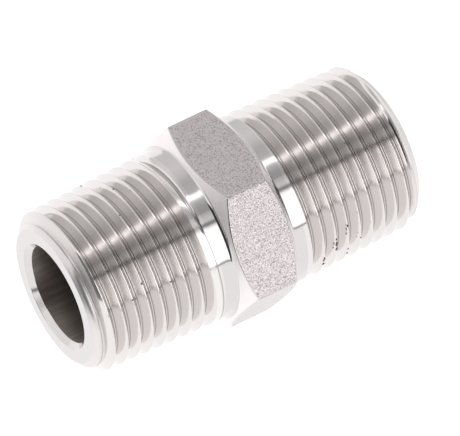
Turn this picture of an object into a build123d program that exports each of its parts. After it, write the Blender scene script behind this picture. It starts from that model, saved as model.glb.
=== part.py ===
from build123d import *

import os
from math import atan, cos, degrees, pi, radians, sin, tan

# Hex nipple, 3/8-18 NPT at both ends, turned from one hexagon bar.
# The axis lies along X and the middle of the hexagon is at the origin.
# The nipple rests on one flat, so two of the flats face +Z and -Z.

# Standard thread, 3/8-18 NPT
PITCH = 25.4 / 18
TAPER = 1 / 16  # on diameter
CREST_DIAMETER_AT_END = 17.055
FLANK_ANGLE = 30.0  # degrees, each side of the 60 degree thread
THREAD_DEPTH = 0.665 * PITCH
CREST_FLAT = 0.15 * PITCH
ROOT_FLAT = PITCH - CREST_FLAT - 2 * THREAD_DEPTH * tan(radians(FLANK_ANGLE))

# Nipple
LENGTH = 37.4
ACROSS_FLATS = 19.05
CORNER_EDGE_LENGTH = 4.4  # full-height part of each of the hexagon's corner edges
HEX_CHAMFER_ANGLE = 30.0  # degrees, between the chamfer and the end plane
THREADED_LENGTH = 14.0
NECK_FILLET = 0.45

# Ends and bore
BORE_DIAMETER = 10.2
COUNTERSINK = 0.56
FACE_RADIUS = 7.1
END_CHAMFER_LENGTH = 1.25

# How the thread cutter runs, and where each thread starts, as a turn about X in degrees
CUTTER_OVERRUN = 1.5 * PITCH
CUTTER_LIFT = 0.04
CUTTER_SHANK = 0.5
RUN_OUT_TURNS = 0.5
RUN_OUT_END = 13.55  # the groove's middle, from its own end, where it has faded out
NEAR_START_ANGLE = -150.0
FAR_START_ANGLE = -113.0

HALF = LENGTH / 2
CORNER_RADIUS = ACROSS_FLATS / 2 / cos(pi / 6)
TAPER_ANGLE = degrees(atan(TAPER / 2))


def crest_radius(from_end):
    """Radius of the thread's crest cone at a distance from its own end."""
    return CREST_DIAMETER_AT_END / 2 + from_end * TAPER / 2


NECK_RADIUS = crest_radius(THREADED_LENGTH)


def turned_blank():
    """The nipple without threads or flats, as turned from a round of the hexagon's corner diameter.

    The hexagon's chamfer is drawn as a Bezier, although it is straight, so that its edges on the flats
    come out as splines. As plain hyperbolas they upset distance measurements.
    """
    corner = CORNER_EDGE_LENGTH / 2
    chamfer = radians(HEX_CHAMFER_ANGLE)
    tangent = NECK_FILLET * tan((pi / 2 - chamfer) / 2)
    shoulder = corner + (CORNER_RADIUS - NECK_RADIUS) * tan(chamfer)
    fillet_top = (shoulder - tangent * sin(chamfer), NECK_RADIUS + tangent * cos(chamfer))
    fillet_foot = (shoulder + tangent, NECK_RADIUS)
    half_outline = Curve() + [
        Bezier((corner, CORNER_RADIUS), fillet_top),
        RadiusArc(fillet_top, fillet_foot, NECK_FILLET),
        Polyline(
            fillet_foot,
            (HALF - THREADED_LENGTH, NECK_RADIUS),
            (HALF - END_CHAMFER_LENGTH, crest_radius(END_CHAMFER_LENGTH)),
            (HALF, FACE_RADIUS),
            (HALF, BORE_DIAMETER / 2 + COUNTERSINK),
            (HALF - COUNTERSINK, BORE_DIAMETER / 2),
            (0, BORE_DIAMETER / 2),
        ),
        Line((0, CORNER_RADIUS), (corner, CORNER_RADIUS)),
    ]
    section = make_face(half_outline + mirror(half_outline, about=Plane.YZ))
    return revolve(section, axis=Axis.X)


def hexagon_bar():
    """The bar's six flats over the whole length, two of them level."""
    hexagon = RegularPolygon(CORNER_RADIUS, 6)
    return extrude(Plane.YZ * hexagon, amount=HALF + 1, both=True)


def cutter_section(radius):
    """The V-shaped cutter, in the plane that holds the axis, with its tip at the thread's root."""
    half_root = ROOT_FLAT / 2
    half_top = half_root + (THREAD_DEPTH + CUTTER_LIFT) * tan(radians(FLANK_ANGLE))
    side = [
        (radius - THREAD_DEPTH, half_root),
        (radius + CUTTER_LIFT, half_top),
        (radius + CUTTER_LIFT + CUTTER_SHANK, half_top),
    ]
    outline = [(r, 0, z) for r, z in side] + [(r, 0, -z) for r, z in reversed(side)]
    return make_face(Polyline(*outline, close=True))


def groove(start_angle):
    """One thread's groove, from before the end at -X, fading out beside the hexagon's neck."""
    run_out = RUN_OUT_TURNS * PITCH
    height = RUN_OUT_END + CUTTER_OVERRUN - run_out
    start_radius = crest_radius(-CUTTER_OVERRUN)
    end_radius = start_radius + height * TAPER / 2
    path = Helix(PITCH, height, start_radius, cone_angle=TAPER_ANGLE)
    cut = sweep(cutter_section(start_radius), path=path, is_frenet=True)

    lift_angle = degrees(atan((THREAD_DEPTH + CUTTER_LIFT) / run_out))
    fade_path = Helix(PITCH, run_out, end_radius, cone_angle=lift_angle)
    fade = sweep(cutter_section(end_radius), path=fade_path, is_frenet=True)
    fade = Pos(Z=height) * Rot(Z=360 * height / PITCH) * fade

    place = Rot(X=start_angle) * Pos(X=-HALF - CUTTER_OVERRUN) * Rot(Y=90)
    return [place * cut, place * fade]


def threaded_half(start_angle):
    """The half of the nipple at -X, from the middle of the hexagon to the end."""
    half = turned_blank() & hexagon_bar() & Pos(X=-HALF) * Box(LENGTH, LENGTH, LENGTH)
    for cutter in groove(start_angle):
        half -= cutter
    return half


def hex_nipple():
    """The finished nipple, one solid: two halves with the same thread, started at different angles."""
    near_half = threaded_half(NEAR_START_ANGLE)
    far_half = Rot(Z=180) * threaded_half(FAR_START_ANGLE)
    return (near_half + far_half).clean().solid()


os.makedirs("parts", exist_ok=True)
nipple = hex_nipple()
export_step(nipple, "parts/hex_nipple.step")
print("volume", round(nipple.volume, 1), "valid", nipple.is_valid, "faces", len(nipple.faces()))
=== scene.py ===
from math import cos, radians, sin, tan

import bmesh
import bpy
import numpy as np
from mathutils import Matrix, Vector


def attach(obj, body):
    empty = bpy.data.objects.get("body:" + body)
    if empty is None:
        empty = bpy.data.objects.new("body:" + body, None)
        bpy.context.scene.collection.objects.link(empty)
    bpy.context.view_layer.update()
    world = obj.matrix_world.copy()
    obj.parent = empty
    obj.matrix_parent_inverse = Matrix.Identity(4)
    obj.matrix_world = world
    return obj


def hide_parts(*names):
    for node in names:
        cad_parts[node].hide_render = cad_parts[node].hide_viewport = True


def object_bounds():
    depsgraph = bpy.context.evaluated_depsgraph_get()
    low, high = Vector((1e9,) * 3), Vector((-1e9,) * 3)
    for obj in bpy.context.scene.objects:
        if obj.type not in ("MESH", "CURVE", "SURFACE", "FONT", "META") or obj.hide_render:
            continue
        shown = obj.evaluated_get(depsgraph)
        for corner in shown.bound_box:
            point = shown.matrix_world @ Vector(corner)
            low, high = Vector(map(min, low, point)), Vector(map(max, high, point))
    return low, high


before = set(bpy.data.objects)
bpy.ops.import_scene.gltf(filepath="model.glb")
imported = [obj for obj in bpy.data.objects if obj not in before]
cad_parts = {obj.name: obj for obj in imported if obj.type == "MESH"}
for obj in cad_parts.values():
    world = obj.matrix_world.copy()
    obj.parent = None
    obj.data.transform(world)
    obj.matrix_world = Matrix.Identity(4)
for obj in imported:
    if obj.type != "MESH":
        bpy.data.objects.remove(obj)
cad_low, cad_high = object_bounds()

MM = 0.001

# Nipple, in millimetres: the axis is X, the near end is at -X, and angles run about +X from +Y
LENGTH = round((cad_high[0] - cad_low[0]) / MM, 3)
ACROSS_FLATS = round((cad_high[2] - cad_low[2]) / MM, 3)
CORNER_EDGE_LENGTH = 4.4
HEX_CHAMFER = radians(30)
PITCH = 25.4 / 18
TAPER = 1 / 16
CREST_RADIUS_AT_END = 17.055 / 2
THREADED_LENGTH = 14.0
FLANK_ANGLE = radians(30)
CREST_FLAT = 0.07 * PITCH
ROOT_ROUND = 0.14
CREST_ROUND = 0.04
# Each groove's middle, from its own end, where it starts to fade and where it has faded out
NEAR_RUN_OUT = (12.95, 13.5)
FAR_RUN_OUT = (13.39, 13.6)
BORE_RADIUS = 5.1
COUNTERSINK = 0.56
FACE_RADIUS = 7.1
END_CHAMFER_LENGTH = 1.25
CHAMFER_ROUND = 0.03  # where the crests meet the chamfer at the end
NECK_FILLET = 0.45
CORNER_BREAK = 0.025
EDGE_ROUND = 0.16  # where the hexagon's flats meet their chamfers

# Where each thread's crest is LEAD_IN from its own end, in degrees
LEAD_IN = 1.0
NEAR_LEAD_ANGLE = 5.0
FAR_LEAD_ANGLE = 128.0

HALF = LENGTH / 2
CORNER_RADIUS = ACROSS_FLATS / 2 / cos(radians(30))
NECK_RADIUS = CREST_RADIUS_AT_END + THREADED_LENGTH * TAPER / 2
SHOULDER = CORNER_EDGE_LENGTH / 2 + (CORNER_RADIUS - NECK_RADIUS) * tan(HEX_CHAMFER)
TURN_TO_CONE = radians(60)  # how far the surface turns from a flat to its chamfer's cone
CREST_EDGE = CREST_ROUND * tan(radians(30))  # how far a crest's rounding reaches into its flat
V_DEPTH = (PITCH - CREST_FLAT) / 2 / tan(FLANK_ANGLE)
THREAD_DEPTH = V_DEPTH - ROOT_ROUND * (1 / sin(FLANK_ANGLE) - 1)

# Burrs left on the threads, as (x, angle in degrees, length along the thread, width)
BURRS = [(7.55, 181.0, 0.9, 0.3), (7.62, 186.0, 0.6, 0.34), (7.45, 176.5, 0.4, 0.22),
         (6.12, 191.0, 1.0, 0.3), (6.2, 196.5, 0.5, 0.36), (8.82, 170.0, 0.4, 0.24),
         (9.0, 193.0, 0.35, 0.2), (9.02, 199.0, 0.4, 0.2), (10.4, 187.0, 0.3, 0.18),
         (-12.93, 143.5, 0.3, 0.2), (-14.2, 151.0, 0.25, 0.18), (-11.6, 97.0, 0.2, 0.14),
         (-11.0, 75.0, 0.3, 0.16), (-12.5, 48.0, 0.6, 0.2), (-9.8, 150.5, 0.25, 0.16),
         (12.6, 118.0, 0.25, 0.14)]

# Columns of the mesh, round the axis
COLUMNS_BETWEEN_CORNERS = 26
BESIDE_CORNER = 0.26  # degrees from each hexagon corner to the columns beside it

# Points closer than this are merged, and edges shorter than this are dissolved
MERGE_WITHIN = 0.0004
SHORTEST_EDGE = 0.0003

# Material slots, in the order of nipple_materials
TURNED, FLATS, CONE, NECK, FACE, BORE, BURR, SHADED, ROOT = range(9)

# Stretches of each groove with a steel of their own, in pitches from a crest towards +X. The far-facing
# flank's lighter steel is painted light, which also shows in its reflection on the near-facing flank. The
# near side of the root's darker steel is painted shade in the root.
FAR_FACING_FLANK = (0.03, 0.42)
NEAR_SIDE_OF_ROOT = (0.5, 0.6)


# ---------------------------------------------------------------- mesh

def column_angles():
    """Even columns round the axis, with a close one on each side of every hexagon corner."""
    angles = []
    for corner in range(0, 360, 60):
        angles += [corner - BESIDE_CORNER, corner, corner + BESIDE_CORNER]
        angles += list(np.linspace(corner, corner + 60, COLUMNS_BETWEEN_CORNERS + 2)[1:-1])
    return np.array(sorted(a % 360 for a in angles))


PHI = column_angles()
COLUMNS = len(PHI)


class Skin:
    """Collects rings of vertices and the quads between them, each with a material index."""

    def __init__(self):
        self.points = []
        self.quads = []
        self.slots = []
        self.count = 0
        self.loose_faces = []
        self.loose_slots = []

    def grid(self, x, r, slot, shift=0):
        """Joins rows of rings. Past the last column a row meets the one that is shift rows further on.

        The slot may be one for the whole grid or an array with one for each vertex.
        """
        rows = x.shape[0]
        angle = np.radians(PHI)[None, :]
        points = np.stack([x, r * np.cos(angle), r * np.sin(angle)], -1)
        self.points.append(points.reshape(-1, 3))
        row, column = np.meshgrid(np.arange(rows - 1), np.arange(COLUMNS), indexing="ij")
        beside = (column + 1) % COLUMNS
        row_beside = row + np.where(column + 1 == COLUMNS, shift, 0)
        inside = (row_beside >= 0) & (row_beside + 1 < rows)
        row, column, beside, row_beside = row[inside], column[inside], beside[inside], row_beside[inside]
        step = np.linalg.norm(np.diff(points, axis=0), axis=-1)
        open_quad = (step[row, column] > 1e-6) | (step[row_beside, beside] > 1e-6)
        row, column, beside, row_beside = [a[open_quad] for a in (row, column, beside, row_beside)]
        quads = np.stack([row * COLUMNS + column, row_beside * COLUMNS + beside,
                          (row_beside + 1) * COLUMNS + beside, (row + 1) * COLUMNS + column], -1)
        self.quads.append(quads + self.count)
        self.slots.append(np.broadcast_to(slot, (rows, COLUMNS))[row, column])
        self.count += rows * COLUMNS

    def rings(self, profile, slot):
        """A grid of plain rings, from (x, radius) pairs. Either may be an array with one value a column."""
        x = np.array([np.broadcast_to(a, COLUMNS) for a, _ in profile], float)
        r = np.array([np.broadcast_to(b, COLUMNS) for _, b in profile], float)
        self.grid(x, r, slot)

    def loose(self, points, faces, slot):
        """Adds a small closed shape of its own, which joins none of the rings."""
        self.points.append(np.array(points))
        self.loose_faces += [tuple(i + self.count for i in face) for face in faces]
        self.loose_slots += [slot] * len(faces)
        self.count += len(points)

    def mesh(self, name):
        mesh = bpy.data.meshes.new(name)
        faces = np.concatenate(self.quads).tolist() + self.loose_faces
        slots = np.concatenate(self.slots).tolist() + self.loose_slots
        mesh.from_pydata(np.concatenate(self.points) * MM, [], faces)
        mesh.polygons.foreach_set("material_index", slots)
        made = bmesh.new()
        made.from_mesh(mesh)
        bmesh.ops.remove_doubles(made, verts=made.verts, dist=MERGE_WITHIN * MM)
        bmesh.ops.dissolve_degenerate(made, edges=made.edges, dist=SHORTEST_EDGE * MM)
        bmesh.ops.recalc_face_normals(made, faces=made.faces)
        for face in made.faces:
            face.smooth = True
        made.to_mesh(mesh)
        made.free()
        return mesh


def soft_min(a, b, k):
    """The smaller of two radii, with the corner between them rounded over about k."""
    h = np.clip(0.5 + 0.5 * (b - a) / k, 0, 1)
    return b * (1 - h) + a * h - k * h * (1 - h)


def thread_depth(turn):
    """Depth under the crest cone at a place counted in turns, where whole turns are crests."""
    off = PITCH * np.abs(turn - np.round(turn))
    flank = np.maximum(off - CREST_FLAT / 2, 0) / tan(FLANK_ANGLE)
    over = np.clip(off - (CREST_FLAT / 2 - CREST_EDGE), 0, CREST_ROUND * cos(FLANK_ANGLE))
    shoulder = CREST_ROUND - np.sqrt(CREST_ROUND**2 - over**2)
    flank = np.where(off < CREST_FLAT / 2 - CREST_EDGE + CREST_ROUND * cos(FLANK_ANGLE), shoulder, flank)
    across = np.minimum(PITCH / 2 - off, ROOT_ROUND)
    root = THREAD_DEPTH - ROOT_ROUND + np.sqrt(ROOT_ROUND**2 - across**2)
    in_root = PITCH / 2 - off < ROOT_ROUND * cos(FLANK_ANGLE)
    return np.where(in_root, root, flank)


def thread_radius(from_end, turn, centre, run_out):
    """Outer radius of one thread, with its chamfer at the end and its run-out at the neck."""
    fade = np.clip((centre - run_out[0]) / (run_out[1] - run_out[0]), 0, 1)
    depth = np.maximum(thread_depth(turn) - fade * THREAD_DEPTH, 0)
    crest = CREST_RADIUS_AT_END + from_end * TAPER / 2
    slope = (CREST_RADIUS_AT_END + END_CHAMFER_LENGTH * TAPER / 2 - FACE_RADIUS) / END_CHAMFER_LENGTH
    chamfer = FACE_RADIUS + from_end * slope
    return soft_min(crest - depth, chamfer, CHAMFER_ROUND)


def thread_rows():
    """Places across one pitch where the thread has a row: close rows at each crest and root edge."""
    root = 0.5 - ROOT_ROUND * cos(FLANK_ANGLE) / PITCH
    edge = (CREST_FLAT / 2 - CREST_EDGE) / PITCH
    over = CREST_ROUND / PITCH
    bends = [edge + over * sin(radians(a)) for a in (0, 12, 24, 36, 48, 60)]
    half = [0] + bends + [0.33, root - 0.012, root, (root + 0.5) / 2 - 0.008, 0.5 - 0.01]
    return np.array(half + [1 - a for a in half[:0:-1]])


def groove_slots(rows, side):
    """The slot of each row's faces across one pitch, from the middle of the face."""
    middles = (rows + np.append(rows[1:], 1)) / 2
    past_crest = middles if side < 0 else 1 - middles
    facing_far = (past_crest > FAR_FACING_FLANK[0]) & (past_crest < FAR_FACING_FLANK[1])
    near_root = (past_crest > NEAR_SIDE_OF_ROOT[0]) & (past_crest < NEAR_SIDE_OF_ROOT[1])
    # The far-facing flanks get the steel of painted light, and the near sides of the roots get the steel of
    # painted shade
    return np.where(near_root, ROOT, np.where(facing_far, SHADED, TURNED))


def add_thread(skin, side, lead_angle, run_out):
    """One threaded end. Its rows run along the helix, and stop on a plain ring at each end."""
    rows = thread_rows()
    pitches = range(-2, 12)  # enough to pass both ends of the thread at every angle
    turns = np.concatenate([m + rows for m in pitches])[:, None]
    slots = np.tile(groove_slots(rows, side), len(pitches))
    along = -side * (PHI - lead_angle)[None, :] / 360  # the crest moves to +X as the angle grows
    from_end = np.clip(LEAD_IN + PITCH * (turns + along), 0, THREADED_LENGTH)
    turn = (from_end - LEAD_IN) / PITCH - along
    centre = LEAD_IN + PITCH * (np.floor(turn) + 0.5 + along)
    radius = thread_radius(from_end, turn, centre, run_out)
    radius = np.where(from_end <= 0, FACE_RADIUS, radius)
    radius = np.where(from_end >= THREADED_LENGTH, NECK_RADIUS, radius)
    slots = np.where(from_end < END_CHAMFER_LENGTH, TURNED, slots[:, None])
    skin.grid(side * (HALF - from_end), radius, slots, shift=-side * len(rows))


def hexagon_radius():
    away = (PHI % 60) - 30
    return np.minimum(ACROSS_FLATS / 2 / np.cos(np.radians(away)), CORNER_RADIUS - CORNER_BREAK)


def add_hexagon(skin, side):
    """Half of the hexagon with its chamfer, fillet and plain neck. Rows follow the chamfer's curved edge."""
    radius = hexagon_radius()
    corner = CORNER_EDGE_LENGTH / 2
    edge = corner + (CORNER_RADIUS - radius) * tan(HEX_CHAMFER)
    tangent = NECK_FILLET / tan(TURN_TO_CONE)
    cone_end = SHOULDER - tangent * sin(HEX_CHAMFER)
    cone_end_radius = NECK_RADIUS + tangent * cos(HEX_CHAMFER)

    edge_start = edge - EDGE_ROUND * tan(HEX_CHAMFER)
    rounding = [(side * (edge_start + EDGE_ROUND * sin(a)), radius - EDGE_ROUND * (1 - cos(a)))
                for a in np.linspace(0, TURN_TO_CONE, 5)]
    flat_rows = [(side * edge_start * t, radius) for t in (0, 0.2, 0.4, 0.6, 0.8, 0.97, 1)]
    skin.rings(flat_rows, FLATS)
    skin.rings(rounding, NECK)

    cone_start = edge_start + EDGE_ROUND * sin(TURN_TO_CONE)
    cone = []
    for t in (0, 0.1, 0.5, 0.9, 1):
        x = cone_start + (cone_end - cone_start) * t
        cone.append((side * x, CORNER_RADIUS - (x - corner) / tan(HEX_CHAMFER)))
    skin.rings(cone, CONE)

    fillet = []
    for angle in np.radians(np.linspace(210, 270, 7)):
        x = SHOULDER + tangent + NECK_FILLET * cos(angle)
        fillet.append((side * x, NECK_RADIUS + NECK_FILLET * (1 + sin(angle))))
    skin.rings([cone[-1]] + fillet, NECK)

    neck = np.linspace(SHOULDER + tangent, HALF - THREADED_LENGTH, 5)
    skin.rings([(side * x, NECK_RADIUS) for x in neck], NECK)


def add_end(skin, side):
    """The flat ring at one end and the countersink inside it."""
    inner = BORE_RADIUS + COUNTERSINK
    face = [FACE_RADIUS, FACE_RADIUS - 0.04, (FACE_RADIUS + inner) / 2, inner + 0.04, inner]
    skin.rings([(side * HALF, r) for r in face], FACE)
    sink = [0, 0.04, COUNTERSINK / 2, COUNTERSINK - 0.04, COUNTERSINK]
    skin.rings([(side * (HALF - d), inner - d) for d in sink], FACE)


def add_bore(skin):
    end = HALF - COUNTERSINK
    skin.rings([(x, BORE_RADIUS) for x in np.linspace(-end, end, 13)], BORE)


def add_burr(skin, x, angle, length, width):
    """A small sliver on the thread's crest nearest to x, pointed at both ends."""
    side = 1 if x > 0 else -1
    lead_angle = FAR_LEAD_ANGLE if x > 0 else NEAR_LEAD_ANGLE
    along = -side * (angle - lead_angle) / 360
    turn = round((HALF - abs(x) - LEAD_IN) / PITCH - along) + along
    x = side * (HALF - LEAD_IN - PITCH * turn)
    crest = CREST_RADIUS_AT_END + (HALF - abs(x)) * TAPER / 2
    reach = np.degrees(length / 2 / crest)
    outline = [(-0.04, -reach, 0), (-width / 2, 0.3 * reach, 0), (0.04, reach, 0),
               (width / 2, -0.3 * reach, 0), (0, 0, 0.09), (0, 0, -0.1)]
    points = []
    for off_x, off_angle, off_radius in outline:
        a = radians(angle + off_angle)
        radius = crest + off_radius
        points.append((x + off_x, radius * cos(a), radius * sin(a)))
    sides = [(0, 1, 4), (1, 2, 4), (2, 3, 4), (3, 0, 4), (1, 0, 5), (2, 1, 5), (3, 2, 5), (0, 3, 5)]
    skin.loose(points, sides, BURR)


def nipple_mesh():
    skin = Skin()
    add_thread(skin, -1, NEAR_LEAD_ANGLE, NEAR_RUN_OUT)
    add_thread(skin, 1, FAR_LEAD_ANGLE, FAR_RUN_OUT)
    for side in (-1, 1):
        add_hexagon(skin, side)
        add_end(skin, side)
    add_bore(skin)
    for x, angle, length, width in BURRS:
        add_burr(skin, x, angle, length, width)
    return skin.mesh("nipple")


# ---------------------------------------------------------------- materials

class Nodes:
    """Short ways to add and join shader nodes."""

    def __init__(self, tree):
        self.tree = tree
        tree.nodes.clear()

    def add(self, kind, settings=(), **inputs):
        node = self.tree.nodes.new("ShaderNode" + kind)
        for key, value in dict(settings).items():
            setattr(node, key, value)
        for key, value in inputs.items():
            self.put(node.inputs[key.replace("_", " ")], value)
        return node

    def put(self, socket, value):
        if isinstance(value, bpy.types.NodeSocket):
            self.tree.links.new(value, socket)
        else:
            socket.default_value = value

    def math(self, operation, *values):
        node = self.tree.nodes.new("ShaderNodeMath")
        node.operation = operation
        for socket, value in zip(node.inputs, values):
            self.put(socket, value)
        return node.outputs[0]

    def mix(self, factor, first, second):
        node = self.add("Mix", {"data_type": "RGBA"})
        for place, value in zip((0, 6, 7), (factor, first, second)):
            self.put(node.inputs[place], value)
        return node.outputs[2]

    def ramp(self, factor, stops, mode="LINEAR"):
        node = self.tree.nodes.new("ShaderNodeValToRGB")
        node.color_ramp.interpolation = mode
        self.put(node.inputs[0], factor)
        elements = node.color_ramp.elements
        while len(elements) < len(stops):
            elements.new(0.5)
        for element, (place, colour) in zip(elements, stops):
            element.position = place
            element.color = (*colour, 1) if isinstance(colour, tuple) else (colour, colour, colour, 1)
        return node.outputs[0]


STEEL = (0.62, 0.595, 0.59, 1)
THREAD_STEEL = (0.7, 0.667, 0.657, 1)
# Lighter steel on the far-facing flanks: painted light on them and on their reflections in the near-facing
# flanks
SHADED_STEEL = (0.75, 0.72, 0.705, 1)
# Much darker steel on the near side of each thread root: painted shade in the roots
ROOT_STEEL = (0.4, 0.375, 0.37, 1)
# The cones' steel is much lighter than the rest: painted light, which makes up for the dark near end of the
# tent that the cones mirror
CONE_STEEL = (0.93, 0.88, 0.89, 1)
BURR_STEEL = (0.15, 0.125, 0.11, 1)
FLAT_STEEL = (0.6, 0.55, 0.556)
PIT_STEEL = (0.4, 0.36, 0.36)
BORE_STEEL_DARK = (0.15, 0.127, 0.112)
BORE_STEEL_LIGHT = (0.24, 0.205, 0.182)
# The flats' grain and pits, in lumps per millimetre, and the grain's depth
GRAIN_SCALE = 5.5
PIT_SCALE = 7.0
GRAIN_DEPTH = 0.085


def material(name):
    made = bpy.data.materials.new(name)
    made.use_nodes = True
    return made, Nodes(made.node_tree)


def finish_material(made, nodes, shader):
    out = nodes.add("OutputMaterial")
    nodes.tree.links.new(shader.outputs[0], out.inputs["Surface"])
    return made


def object_noise(nodes, scale, detail=2.0, stretch=(1, 1, 1)):
    """Noise fixed to the object, with scale in lumps per millimetre and a stretch along each axis."""
    place = nodes.add("TexCoord").outputs["Object"]
    mapping = nodes.add("Mapping")
    nodes.put(mapping.inputs["Vector"], place)
    mapping.inputs["Scale"].default_value = [scale / MM * a for a in stretch]
    noise = nodes.add("TexNoise", Detail=detail, Scale=1.0)
    nodes.put(noise.inputs["Vector"], mapping.outputs[0])
    return noise.outputs["Fac"]


def turned_material(name, colour=STEEL, roughness=0.12, anisotropy=0.6, marks=0.25, rough_ends=0.0):
    """Lathe-turned stainless steel: fine marks run round the axis. The end chamfers may be rougher."""
    made, nodes = material(name)
    lines = object_noise(nodes, 9.0, 3.0, (1, 0.02, 0.02))
    blotch = object_noise(nodes, 0.5, 4.0)
    rough = nodes.math("ADD", nodes.math("MULTIPLY", blotch, 0.1), roughness - 0.05)
    if rough_ends:
        place = nodes.add("SeparateXYZ")
        nodes.put(place.inputs[0], nodes.add("TexCoord").outputs["Object"])
        along = nodes.math("ABSOLUTE", place.outputs["X"])
        at_end = nodes.math("GREATER_THAN", along, (HALF - END_CHAMFER_LENGTH) * MM)
        rough = nodes.math("ADD", rough, nodes.math("MULTIPLY", at_end, rough_ends))
    bump = nodes.add("Bump", Strength=marks, Distance=0.004 * MM)
    nodes.put(bump.inputs["Height"], lines)
    tangent = nodes.add("Tangent", {"direction_type": "RADIAL", "axis": "X"})
    shader = nodes.add("BsdfPrincipled", Metallic=1.0, Anisotropic=anisotropy)
    shader.inputs["Anisotropic Rotation"].default_value = 0.25
    shader.inputs["Base Color"].default_value = colour
    nodes.put(shader.inputs["Roughness"], rough)
    nodes.put(shader.inputs["Normal"], bump.outputs[0])
    nodes.put(shader.inputs["Tangent"], tangent.outputs[0])
    return finish_material(made, nodes, shader)


def flat_material(name):
    """The bar's own pickled skin: matt and grainy, with fine dark pits."""
    made, nodes = material(name)
    grain = object_noise(nodes, GRAIN_SCALE, 2.0)
    stops = [(0.0, PIT_STEEL), (0.34, PIT_STEEL), (0.44, FLAT_STEEL)]
    colour = nodes.ramp(object_noise(nodes, PIT_SCALE, 0.0), stops)
    bump = nodes.add("Bump", Strength=1.0, Distance=GRAIN_DEPTH * MM)
    nodes.put(bump.inputs["Height"], grain)
    shader = nodes.add("BsdfPrincipled", Metallic=1.0, Roughness=0.22)
    nodes.put(shader.inputs["Base Color"], colour)
    nodes.put(shader.inputs["Normal"], bump.outputs[0])
    return finish_material(made, nodes, shader)


def bore_material(name):
    """The drilled wall: dull and dark, with faint marks along it."""
    made, nodes = material(name)
    streaks = object_noise(nodes, 1.6, 3.0, (0.08, 1, 1))
    colour = nodes.ramp(streaks, [(0.3, BORE_STEEL_DARK), (0.7, BORE_STEEL_LIGHT)])
    shader = nodes.add("BsdfPrincipled", Metallic=0.6, Roughness=0.45)
    nodes.put(shader.inputs["Base Color"], colour)
    return finish_material(made, nodes, shader)


def nipple_materials():
    """One material for each slot, in the slots' order."""
    return [
        turned_material("turned_thread", THREAD_STEEL, marks=0.5, rough_ends=0.25),
        flat_material("bar_flat"),
        # The cones' material, lighter than the other steel: painted light
        turned_material("turned_cone_painted_light", CONE_STEEL, roughness=0.55, anisotropy=0.3),
        turned_material("turned_neck"),
        turned_material("turned_face", anisotropy=0.3),
        bore_material("bored_wall"),
        turned_material("burr", BURR_STEEL, roughness=0.5),
        # The far-facing flanks' material, lighter than the thread's: painted light
        turned_material("thread_far_flank_painted_light", SHADED_STEEL, roughness=0.2, marks=0.5),
        # The roots' material, much darker than the thread's: painted shade
        turned_material("thread_root_painted_shade", ROOT_STEEL, roughness=0.25, marks=0.5),
    ]


def build_nipple():
    mesh = nipple_mesh()
    for made in nipple_materials():
        mesh.materials.append(made)
    nipple = bpy.data.objects.new("nipple_body", mesh)
    bpy.context.scene.collection.objects.link(nipple)
    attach(nipple, "root")
    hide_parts("hex_nipple")
    return nipple


# ---------------------------------------------------------------- floor, light and camera

# The floor reaches from FLOOR_NEAR in X, just under the nipple, and glows so that no shadow shows
FLOOR_REACH = 400
FLOOR_NEAR = -60
FLOOR_Z = -ACROSS_FLATS / 2 - 0.01
FLOOR_SHADE = 0.12
FLOOR_GLOW = 1.15


def build_floor():
    mesh = bpy.data.meshes.new("floor")
    corners = [(FLOOR_NEAR, -FLOOR_REACH), (FLOOR_REACH, -FLOOR_REACH),
               (FLOOR_REACH, FLOOR_REACH), (FLOOR_NEAR, FLOOR_REACH)]
    mesh.from_pydata([(x * MM, y * MM, FLOOR_Z * MM) for x, y in corners], [], [(0, 1, 2, 3)])
    made, nodes = material("floor")
    shader = nodes.add("BsdfPrincipled", Roughness=0.9)
    shader.inputs["Base Color"].default_value = (FLOOR_SHADE, FLOOR_SHADE, FLOOR_SHADE, 1)
    shader.inputs["Specular IOR Level"].default_value = 0.0
    shader.inputs["Emission Color"].default_value = (1, 1, 1, 1)
    shader.inputs["Emission Strength"].default_value = FLOOR_GLOW
    mesh.materials.append(finish_material(made, nodes, shader))
    floor = bpy.data.objects.new("floor", mesh)
    bpy.context.scene.collection.objects.link(floor)


# Bands of the light tent, as angles about the object's axis from the horizon behind it (0) over the top
# (90) to the horizon in front (180), each with its brightness. Between neighbours it changes smoothly.
TENT = [(-30, 1.15), (-2, 1.15), (1, 0.82), (40, 0.9), (52, 0.82), (66, 0.62), (78, 0.66),
        (84, 0.7), (86, 1.9), (91, 1.9), (94, 0.75), (103, 0.5), (111, 0.45), (118, 0.8),
        (124, 0.9), (126, 0.25), (129, 0.25), (131, 1.2), (136, 1.9), (174, 2.2), (179, 1.6),
        (180, 0.1), (183, 0.1), (185, 1.3), (215, 1.3)]
# The tent's wall beyond the near end is plain, apart from its dark foot
NEAR_WALL = [(-30, 1.15), (-2, 1.15), (1, 1.1), (60, 1.15), (120, 1.25), (172, 1.3), (176, 0.3),
             (184, 0.3), (187, 1.3), (215, 1.3)]
# The tent's wall beyond the far end
FAR_WALL = [(-30, 1.0), (-2, 1.0), (4, 0.81), (18, 0.9), (31, 1.0), (44, 0.78), (58, 0.75),
            (67, 0.53), (73, 0.6), (78, 0.64), (80, 0.66), (82, 2.4), (88, 2.4), (91, 0.66),
            (99, 0.42), (107, 0.3), (113, 0.46), (120, 0.55), (125, 0.1), (129, 0.1), (133, 0.45),
            (148, 0.6), (152, 0.78), (174, 0.78), (177, 0.7), (178, 0.06), (184, 0.06), (186, 1.2),
            (215, 1.3)]
BANDS_FROM = -60  # degrees, where the colour ramps of the bands start
WORLD_STRENGTH = 2.0  # a colour in the world is its brightness divided by this
BACKDROP = 1.0  # what the camera sees behind the nipple

# Where the walls and the dark openings are, as the X part of a direction
FAR_WALL_FROM = 0.5
FAR_END_FROM = 0.78
GAP_FROM, GAP_TO = -0.9, -0.02
NEAR_END_FROM = -0.95
GAP_BRIGHTNESS = 0.05  # in the gap and at the far end
NEAR_END_BRIGHTNESS = 0.18
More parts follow.
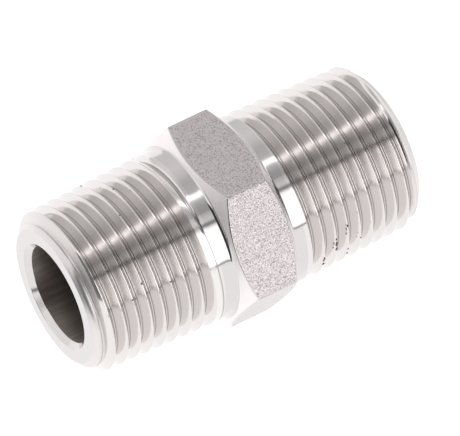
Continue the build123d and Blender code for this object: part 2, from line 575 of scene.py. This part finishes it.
# The gap and the dark far end reach in front from overhead to just under the horizon, in degrees
GAP_TOP = 105
GAP_FOOT = 185


def band_place(angle):
    return (angle - BANDS_FROM) / 360


def band_colour(nodes, turned, bands):
    return nodes.ramp(turned, [(band_place(a), value / WORLD_STRENGTH) for a, value in bands])


def grey(brightness):
    return (brightness / WORLD_STRENGTH,) * 3 + (1,)


def build_world():
    world = bpy.data.worlds.new("tent")
    bpy.context.scene.world = world
    world.use_nodes = True
    nodes = Nodes(world.node_tree)
    split = nodes.add("SeparateXYZ")
    nodes.put(split.inputs[0], nodes.add("TexCoord").outputs["Generated"])
    along = split.outputs["X"]
    angle = nodes.math("DEGREES", nodes.math("ARCTAN2", split.outputs["Z"], split.outputs["Y"]))
    turned = nodes.math("DIVIDE", nodes.math("MODULO", nodes.math("ADD", angle, 360 - BANDS_FROM), 360), 360)
    front = band_colour(nodes, turned, TENT)
    near = band_colour(nodes, turned, NEAR_WALL)
    far = band_colour(nodes, turned, FAR_WALL)
    middle = (GAP_FROM + GAP_TO) / 2
    off_gap = nodes.math("ABSOLUTE", nodes.math("SUBTRACT", along, middle))
    in_gap = nodes.math("LESS_THAN", off_gap, (GAP_TO - GAP_FROM) / 2)
    at_far_end = nodes.math("GREATER_THAN", along, FAR_END_FROM)
    in_front = nodes.math("GREATER_THAN", turned, band_place(GAP_TOP))
    above_floor = nodes.math("LESS_THAN", turned, band_place(GAP_FOOT))
    dark = nodes.math("MULTIPLY", nodes.math("ADD", in_gap, at_far_end),
                      nodes.math("MULTIPLY", in_front, above_floor))
    walls = nodes.mix(nodes.math("LESS_THAN", along, middle), front, near)
    walls = nodes.mix(nodes.math("GREATER_THAN", along, FAR_WALL_FROM), walls, far)
    walls = nodes.mix(dark, walls, grey(GAP_BRIGHTNESS))
    at_near_end = nodes.math("LESS_THAN", along, NEAR_END_FROM)
    walls = nodes.mix(at_near_end, walls, grey(NEAR_END_BRIGHTNESS))
    seen = nodes.mix(nodes.add("LightPath").outputs["Is Camera Ray"], walls, grey(BACKDROP))
    light = nodes.add("Background", Strength=WORLD_STRENGTH)
    nodes.put(light.inputs["Color"], seen)
    out = nodes.add("OutputWorld")
    nodes.tree.links.new(light.outputs[0], out.inputs["Surface"])


OVERHEAD_WIDTH = 500
OVERHEAD_HEIGHT = 400
OVERHEAD_POWER = 0.15  # watts


def build_overhead():
    """A broad soft lamp above the nipple, which the steel doesn't mirror."""
    lamp = bpy.data.lights.new("overhead", "AREA")
    lamp.size = OVERHEAD_WIDTH * MM
    lamp.energy = OVERHEAD_POWER
    made = bpy.data.objects.new("overhead", lamp)
    made.location = (0, 0, OVERHEAD_HEIGHT * MM)
    made.visible_glossy = False
    bpy.context.scene.collection.objects.link(made)


# The camera looks at a point a little off the middle, in degrees and millimetres
CAMERA_AZIMUTH = -30.88
CAMERA_ELEVATION = 48.66
CAMERA_ROLL = -1.28
CAMERA_DISTANCE = 970.0
CAMERA_LENS = 780.0
AIM_RIGHT = 1.13
AIM_UP = 0.08


def build_camera():
    a, e, roll = radians(CAMERA_AZIMUTH), radians(CAMERA_ELEVATION), radians(CAMERA_ROLL)
    back = Vector((sin(a) * cos(e), -cos(a) * cos(e), sin(e)))
    level = Vector((cos(a), sin(a), 0))
    right = Matrix.Rotation(roll, 3, back) @ level
    up = back.cross(right)
    aim = right * AIM_RIGHT + up * AIM_UP
    data = bpy.data.cameras.new("camera")
    data.sensor_width = 36
    data.lens = CAMERA_LENS
    data.clip_start, data.clip_end = 0.01, 10
    camera = bpy.data.objects.new("camera", data)
    turn = Matrix((right, up, back)).transposed().to_4x4()
    camera.matrix_world = Matrix.Translation((aim + back * CAMERA_DISTANCE) * MM) @ turn
    bpy.context.scene.collection.objects.link(camera)
    bpy.context.scene.camera = camera


build_nipple()
build_floor()
build_world()
build_overhead()
build_camera()
bpy.context.scene.view_settings.view_transform = "Standard"
